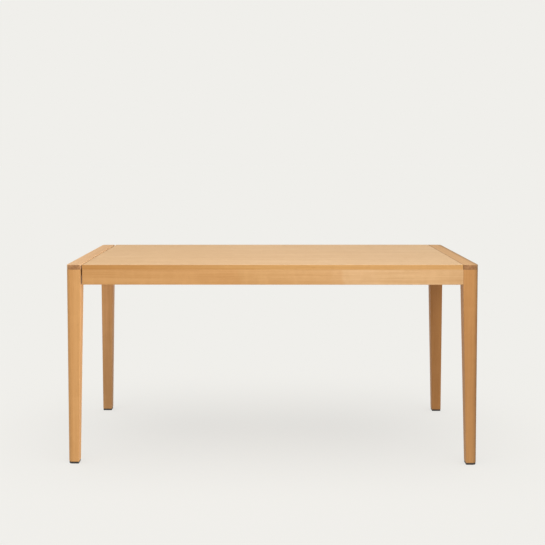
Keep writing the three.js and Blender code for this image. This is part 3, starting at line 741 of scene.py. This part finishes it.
for side, sy in (("front", -1), ("back", 1)):
    a, b = Y_OUT - APRON_T, Y_IN            # apron face and the line of the legs' inner faces
    tongue = b - 0.0125
    z0, z1 = RAIL_LO.z, RAIL_HI.z
    prof = [(tongue, z0), (a, z0), (a, z1), (b, z1), (b, z0 + 0.014), (tongue, z0 + 0.014)]
    rail = outline_bar(f"guide_rail_{side}_wood", "x", mirrored(prof, sy), RAIL_LO.x, RAIL_HI.x, 0.0007)
    combine(rail, [raw_bar((x, sy * SCREW_Y, z0 - 0.002), (0, 0, 1), 0.0023, 0.040) for x in RAIL_X])
    dress(rail, ROOT, M["inner_x"], [f"guide_rail_{side}"])
    for i, x in enumerate(RAIL_X):
        pan_screw(f"rail_screw_{side}_{i + 1}_turned", ROOT, (x, sy * SCREW_Y, z0 - 0.003), (0, 0, 1),
                  0.0045, 0.003, 0.002, 0.0325)

    ro, ri, rz0, rz1 = Y_IN - 0.001, RUN_YI, RUN_LO.z, RUN_HI.z
    gy, gz0, gz1 = Y_IN - 0.013, z0 - 0.0005, z0 + 0.0145
    prof = [(ri, rz0), (ro, rz0), (ro, gz0), (gy, gz0), (gy, gz1), (ro, gz1), (ro, rz1), (ri, rz1)]
    run = outline_bar(f"runner_{side}_wood", "x", mirrored(prof, sy), RUN_LO.x, RUN_HI.x, 0.0009)
    tlo, thi = B["runner_tie"]
    combine(run, [
        raw_box((tlo.x + 0.005 - FIT, sy * (ri - 0.002), tlo.z + 0.003 - FIT),
                (thi.x - 0.005 + FIT, sy * (ri + 0.0105), thi.z - 0.003 + FIT)),
        raw_bar((RUN_LO.x + 0.022, sy * (ri - 0.002), 0.7145), (0, sy, 0), 0.0023, 0.016)])
    dress(run, LEFT, M["inner_x"], [f"runner_{side}"])

    # steel angle between runner and end apron, in plan
    rx = RUN_LO.x
    pts = [(rx, ri), (rx, ri - 0.032), (rx + 0.002, ri - 0.032), (rx + 0.002, ri - 0.002),
           (rx + 0.032, ri - 0.002), (rx + 0.032, ri)]
    pts = [(x, sy * y) for x, y in (pts if sy > 0 else pts[::-1])]
    br = outline_bar(f"runner_bracket_{side}_steel", "z", pts, 0.7045, 0.7245, 0.0004)
    combine(br, [raw_bar((rx + 0.022, sy * (ri - 0.004), 0.7145), (0, sy, 0), 0.0023, 0.008),
                 raw_bar((rx - 0.002, sy * (ri - 0.022), 0.7145), (1, 0, 0), 0.0023, 0.008)])
    dress(br, LEFT, M["steel"], [f"runner_bracket_{side}"])
    pan_screw(f"bracket_screw_runner_{side}_turned", LEFT, (rx + 0.022, sy * (ri - 0.004), 0.7145), (0, sy, 0),
              0.004, 0.002, 0.002, 0.014)
    pan_screw(f"bracket_screw_apron_{side}_turned", LEFT, (rx + 0.004, sy * (ri - 0.022), 0.7145), (-1, 0, 0),
              0.004, 0.002, 0.002, 0.014)

    lo, hi = B[f"runner_stop_{side}"]
    st = board(f"runner_stop_{side}_wood", "z", lo, hi, (0.0010, 0.0003), 0.0010)
    cx, cy = (lo.x + hi.x) / 2, (lo.y + hi.y) / 2
    combine(st, [raw_bar((cx, cy, Z_U - 0.016), (0, 0, 1), 0.0023, 0.020),
                 raw_bar((cx, cy, Z_U - 0.016), (0, 0, 1), 0.0043, 0.0055)])
    dress(st, ROOT, M["inner_y"], [f"runner_stop_{side}"])
    pan_screw(f"stop_screw_{side}_turned", ROOT, (cx, cy, Z_U - 0.0135), (0, 0, 1), 0.004, 0.0025, 0.002, 0.021)

lo, hi = B["runner_tie"]
tie = board("runner_tie_slat", "y", (lo.x, -RUN_YI, lo.z), (hi.x, RUN_YI, hi.z), (0.0003, 0.0003), 0.0012)
combine(tie, [raw_box((lo.x + 0.005, sy * (RUN_YI - 0.001), lo.z + 0.003), (hi.x - 0.005, sy * (RUN_YI + 0.010), hi.z - 0.003))
              for sy in (-1, 1)], "UNION")
dress(tie, LEFT, M["inner_y"], ["runner_tie"])

for s in BAT:
    lo, hi = BAT[s]
    yi = Y_OUT - APRON_T
    bt = board(f"leaf_batten_{s}_wood", "y", (lo.x, -yi, lo.z), (hi.x, yi, hi.z), (0.0003, 0.0003), 0.0014)
    combine(bt, [raw_box((lo.x + 0.005, sy * (yi - 0.001), lo.z + 0.004), (hi.x - 0.005, sy * (yi + 0.008), hi.z - 0.004))
                 for sy in (-1, 1)], "UNION")
    dress(bt, ROOT, M["inner_y"], [f"leaf_rest_batten_{s}"])

# ------------------------------------------------------------------ stored leaf
lo, hi = B["extension_leaf"]
leaf = board("stored_leaf", "z", lo, hi, (0.0005, 0.0011), 0.0009)
xm, zm = (lo.x + hi.x) / 2, (lo.z + hi.z) / 2
cuts = []
for i in (-1, 0, 1):
    cuts.append(raw_bar((xm + i * PITCH, lo.y - 0.002, zm), (0, 1, 0), 0.0055, 0.018))
    cuts.append(raw_bar((xm + i * PITCH, hi.y - 0.020, zm), (0, 1, 0), 0.0053, 0.024))
combine(leaf, cuts)
dress(leaf, ROOT, [M["leaf"], M["lip"]], ["extension_leaf"],
      lambda p: 1 if abs(p.normal.x) > 0.75 or abs(p.normal.y) > 0.75 else 0)


# ------------------------------------------------------------------ pegs and dowels
def peg(name, node, body, origin, direction, length, mat, r=0.005):
    """A chamfered wooden peg."""
    c = 0.0012
    ob = lathe(name, origin, direction,
               [(0, 0), (0, r - c), (c * 0.4, r - c * 0.35), (c, r), (length - c, r),
                (length - c * 0.4, r - c * 0.35), (length, r - c), (length, 0)], 32,
               [0, 0.4, 0.8, 0.2, 0.2, 0.8, 0.4, 0])
    dress(ob, body, mat, [node])


for i, w in enumerate(("front", "middle", "back")):
    lo, hi = B[f"locating_peg_{w}"]
    peg(f"locating_peg_{w}_turned", f"locating_peg_{w}", LEFT, (lo.x, (i - 1) * PITCH, Z_P), (1, 0, 0), hi.x - lo.x, M["peg_x"])
for i, w in enumerate(("left", "middle", "right")):
    lo, hi = B[f"leaf_peg_{w}"]
    peg(f"leaf_peg_{w}_turned", f"leaf_peg_{w}", ROOT, (xm + (i - 1) * PITCH, lo.y, zm), (0, 1, 0), hi.y - lo.y, M["peg_y"])
for fb, sy in (("front", -1), ("back", 1)):
    for lr, sx in (("left", -1), ("right", 1)):
        n = f"end_board_dowel_{fb}_{lr}"
        lo, hi = B[n]
        peg(n + "_turned", n, LEFT if sx < 0 else ROOT, (sx * (X_OUT - LEG / 2), sy * (Y_OUT - LEG / 2), lo.z),
            (0, 0, 1), hi.z - lo.z, M["peg_z"])
lo, hi = B["seam_spline_right"]
sp = board("seam_spline_strip", "y", lo, hi, 0.0004, 0.0004)
dress(sp, ROOT, M["peg_y"], ["seam_spline_right"])

# ------------------------------------------------------------------ right-hand corner braces
C = LEG - APRON_T
W0, W1 = 2 * C + 0.003, 2 * C + 0.031
XK, YK, BZ = X_OUT - APRON_T, Y_OUT - APRON_T, 0.697
H2 = math.sqrt(0.5)
for side, sy in (("front", -1), ("back", 1)):
    def P(u, v, sy=sy):
        return (XK - u, sy * (YK - v))
    pts = [P(W0 - FIT, FIT), P(W1 - FIT, FIT), P(FIT, W1 - FIT), P(FIT, W0 - FIT)]
    if sy < 0:
        pts = pts[::-1]
    area = sum(a[0] * b[1] - b[0] * a[1] for a, b in zip(pts, pts[1:] + pts[:1]))
    if area < 0:
        pts = pts[::-1]
    bz0, bz1 = B[f"corner_brace_right_{side}"][0].z, B[f"corner_brace_right_{side}"][1].z
    brace = outline_bar(f"corner_brace_{side}_wood", "z", pts, bz0, bz1, 0.0012)
    dirn = (H2, sy * H2, 0)

    def at(d, sy=sy):
        return (XK - d * H2, sy * (YK - d * H2), BZ)
    dfar, dleg = W1 * H2, 2 * C * H2
    combine(brace, [raw_bar(at(dfar + 0.003), dirn, 0.0045, 0.040)])
    dress(brace, ROOT, M["inner_d"], [f"corner_brace_right_{side}"])

    ln = dfar + 0.016 - dleg + 0.028
    r = 0.004
    prof, ev = [(0, 0), (0, r * 0.72), (0.0009, r)], [0, 0.5, 0.5]
    t = 0.0009
    while t < 0.030:                                    # machine thread
        prof += [(t + 0.0003, r * 0.86), (t + 0.00055, r * 0.84), (t + 0.00095, r), (t + 0.0012, r)]
        ev += [0, 0, 0.6, 0.6]
        t += 0.00125
    prof += [(t + 0.0004, r * 0.92), (ln - 0.030, r * 0.92)]
    ev += [0, 0]
    t = ln - 0.030
    while t < ln - 0.006:                               # wood thread
        prof += [(t + 0.0006, r * 0.68), (t + 0.0016, r * 0.68), (t + 0.0021, r), (t + 0.0024, r)]
        ev += [0, 0, 0.6, 0.6]
        t += 0.0028
    prof += [(t + 0.0006, r * 0.62), (ln, 0)]
    ev += [0, 0]
    bolt = lathe(f"hanger_bolt_{side}_threaded", at(dfar + 0.016), dirn, prof, 28, ev)
    dress(bolt, ROOT, M["steel"], [f"hanger_bolt_right_{side}"])

    def ring(nm, d0, thick, ro, ri, seg, turn=0.0, cham=0.0):
        """Washer or nut: outer radius ro, hole ri, between distances d0 and d0+thick."""
        ob = lathe(nm, at(d0), dirn, [(0, 0), (0, ro - cham), (cham, ro), (thick - cham, ro), (thick, ro - cham), (thick, 0)],
                   seg, [0, 0.3, 0.6, 0.6, 0.3, 0], turn)
        return combine(ob, [raw_bar(at(d0 + 0.002), dirn, ri, thick + 0.004, 28)])
    ws = ring(f"brace_washer_{side}_steel", dfar + 0.0023, 0.002, 0.010, 0.0044, 40, cham=0.0003)
    dress(ws, ROOT, M["steel"], [f"brace_washer_right_{side}"])
    # hexagon nut: a chamfered disc cut to six flats
    nut = lathe(f"brace_nut_{side}_steel", at(dfar + 0.0095), dirn,
                [(0, 0), (0, 0.0062), (0.0009, 0.0075), (0.0056, 0.0075), (0.0065, 0.0062), (0.0065, 0)], 48,
                [0, 0.2, 0.5, 0.5, 0.2, 0])
    hexa = raw_bar(at(dfar + 0.0115), dirn, 0.0075, 0.012, 6)
    combine(nut, [hexa], "INTERSECT")
    combine(nut, [raw_bar(at(dfar + 0.0125), dirn, 0.0043, 0.014, 28)])
    dress(nut, ROOT, M["steel"], [f"brace_nut_right_{side}"])

# ------------------------------------------------------------------ floor, light, camera
BACK = lin((240, 239, 235))


def stage_material():
    m = bpy.data.materials.new("pale_floor")
    m.use_nodes = True
    t = m.node_tree
    t.nodes.clear()
    out = t.nodes.new("ShaderNodeOutputMaterial")
    add = t.nodes.new("ShaderNodeAddShader")
    em = t.nodes.new("ShaderNodeEmission")
    df = t.nodes.new("ShaderNodeBsdfDiffuse")
    share = 0.235                               # of the floor's brightness that can be shaded
    shaded = mul(BACK, (share, share * 0.93, share * 0.86))
    em.inputs[0].default_value = (*(b - s for b, s in zip(BACK, shaded)), 1)
    em.inputs[1].default_value = 1.0
    df.inputs[0].default_value = (*shaded, 1)
    t.links.new(em.outputs[0], add.inputs[0])
    t.links.new(df.outputs[0], add.inputs[1])
    t.links.new(add.outputs[0], out.inputs[0])
    return m


bm = bmesh.new()
bmesh.ops.create_circle(bm, cap_ends=True, radius=90.0, segments=96)
me = bpy.data.meshes.new("floor")
bm.to_mesh(me)
bm.free()
floor = bpy.data.objects.new("floor", me)
bpy.context.scene.collection.objects.link(floor)
floor.location.z = -0.0002
me.materials.append(stage_material())

scene = bpy.context.scene
# the room as light: (direction axis and sign, start, full, brightness) added to a base
BASE = 0.08
ROOM = [(1, -1, 0.10, 0.90, 0.24), (2, 1, 0.25, 0.95, 0.28), (0, -1, 0.15, 0.90, 0.36)]
HORIZON = 0.10                                  # bright low backdrop behind the table


def smooth(x, a, b):
    t = max(0.0, min(1.0, (x - a) / (b - a)))
    return t * t * (3 - 2 * t)


def room(d):
    v = BASE + sum(k * smooth(sg * d[ax], a, b) for ax, sg, a, b, k in ROOM)
    return v + HORIZON * smooth(d[1], 0.30, 0.85) * (1 - smooth(d[2], 0.22, 0.60))


world = bpy.data.worlds.new("room")
scene.world = world
world.use_nodes = True
wt = world.node_tree
wt.nodes.clear()
wo = wt.nodes.new("ShaderNodeOutputWorld")
seen = wt.nodes.new("ShaderNodeBackground")
felt = wt.nodes.new("ShaderNodeBackground")
path = wt.nodes.new("ShaderNodeLightPath")
wmix = wt.nodes.new("ShaderNodeMixShader")
wtc = wt.nodes.new("ShaderNodeTexCoord")
wsep = wt.nodes.new("ShaderNodeSeparateXYZ")
wt.links.new(wtc.outputs["Generated"], wsep.inputs[0])


def wmath(op, a, b):
    n = wt.nodes.new("ShaderNodeMath")
    n.operation = op
    for i, v in enumerate((a, b)):
        if isinstance(v, bpy.types.NodeSocket):
            wt.links.new(v, n.inputs[i])
        else:
            n.inputs[i].default_value = v
    return n.outputs[0]


def wband(v, a, b, lo, hi):
    n = wt.nodes.new("ShaderNodeMapRange")
    n.interpolation_type = "SMOOTHSTEP"
    wt.links.new(v, n.inputs[0])
    for i, x in enumerate((a, b, lo, hi)):
        n.inputs[i + 1].default_value = x
    return n.outputs[0]


total = None
for ax, sg, a, b, k in ROOM:
    part = wband(wmath("MULTIPLY", wsep.outputs[ax], float(sg)), a, b, 0.0, k)
    total = wmath("ADD", part, BASE) if total is None else wmath("ADD", total, part)
low = wmath("MULTIPLY", wband(wsep.outputs[1], 0.30, 0.85, 0.0, HORIZON), wband(wsep.outputs[2], 0.22, 0.60, 1.0, 0.0))
total = wmath("ADD", total, low)
seen.inputs[0].default_value = (*BACK, 1)
seen.inputs[1].default_value = 1.0
felt.inputs[0].default_value = (1, 1, 1, 1)
wt.links.new(total, felt.inputs[1])
wt.links.new(path.outputs["Is Camera Ray"], wmix.inputs[0])
wt.links.new(felt.outputs[0], wmix.inputs[1])
wt.links.new(seen.outputs[0], wmix.inputs[2])
wt.links.new(wmix.outputs[0], wo.inputs[0])

# what the room alone gives an open floor, as a share of full brightness
FILL, NT, NP = 0.0, 48, 96
for i in range(NT):
    th = (i + 0.5) / NT * math.pi / 2
    for j in range(NP):
        ph = (j + 0.5) / NP * 2 * math.pi
        d = (math.sin(th) * math.cos(ph), math.sin(th) * math.sin(ph), math.cos(th))
        FILL += room(d) * math.cos(th) * math.sin(th) * (math.pi / 2 / NT) * (2 * math.pi / NP) / math.pi


def light(name, kind, loc, to, **kw):
    d = bpy.data.lights.new(name, kind)
    for k, v in kw.items():
        setattr(d, k, v)
    o = bpy.data.objects.new(name, d)
    scene.collection.objects.link(o)
    o.location = loc
    o.rotation_mode = "QUATERNION"
    o.rotation_quaternion = (Vector(to) - Vector(loc)).to_track_quat("-Z", "Y")
    return o


# the overhead light that gives the floor its soft shadow; with the room it makes the open floor BACK
sun_dir = Vector((0.05, -0.14, 1.0)).normalized()
sun = light("overhead_soft", "SUN", tuple(sun_dir * 5), (0, 0, 0),
            energy=(1.0 - FILL) * math.pi / sun_dir.z, angle=math.radians(70))
key = light("key_softbox", "AREA", (0.62, -2.75, 3.35), (0.0, -0.2, 0.45),
            shape="RECTANGLE", size=1.3, size_y=1.1, energy=78.0)

# the softbox lights the table only, so the floor stays even
only = bpy.data.collections.new("table_pieces")
for ob in list(PIECES) + list(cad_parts.values()):
    if ob.type == "MESH":
        only.objects.link(ob)
key.light_linking.receiver_collection = only

# a low light from the right that reaches the front left leg only
edge_light = light("leg_softbox", "AREA", (2.4, -0.98, 0.50), (-0.72, -0.36, 0.36),
                   shape="RECTANGLE", size=0.6, size_y=0.7, energy=52.0)
leg_only = bpy.data.collections.new("front_left_leg")
for ob in PIECES:
    if ob.name in ("leg_front_left_wood", "end_board_left"):
        leg_only.objects.link(ob)
edge_light.light_linking.receiver_collection = leg_only

cam_d = bpy.data.cameras.new("camera")
cam = bpy.data.objects.new("camera", cam_d)
scene.collection.objects.link(cam)
scene.camera = cam
F_PX, PX, PY = 923.03, 256.11, 202.18
YAW, PITCH_C, ROLL = -0.01492, 0.05183, -0.0017
rz = Matrix(((math.cos(YAW), -math.sin(YAW), 0), (math.sin(YAW), math.cos(YAW), 0), (0, 0, 1)))
rx = Matrix(((1, 0, 0), (0, math.cos(PITCH_C), -math.sin(PITCH_C)), (0, math.sin(PITCH_C), math.cos(PITCH_C))))
rr = Matrix(((math.cos(ROLL), 0, math.sin(ROLL)), (0, 1, 0), (-math.sin(ROLL), 0, math.cos(ROLL))))
m = rr @ rx @ rz
right, fwd, up = Vector(m[0]), Vector(m[1]), Vector(m[2])
cam.matrix_world = Matrix((
    (right.x, up.x, -fwd.x, -0.0066),
    (right.y, up.y, -fwd.y, -Y_OUT - 3.3942),
    (right.z, up.z, -fwd.z, 1.15701),
    (0, 0, 0, 1)))
cam_d.sensor_width = 36.0
cam_d.sensor_fit = "HORIZONTAL"
cam_d.lens = F_PX * 36.0 / 545.0
cam_d.shift_x = (272.5 - PX) / 545.0
cam_d.shift_y = (PY - 272.5) / 545.0
cam_d.clip_start, cam_d.clip_end = 0.05, 400.0

scene.view_settings.view_transform = "Standard"
scene.view_settings.look = "None"
scene.view_settings.exposure = 0.0
scene.view_settings.gamma = 1.0
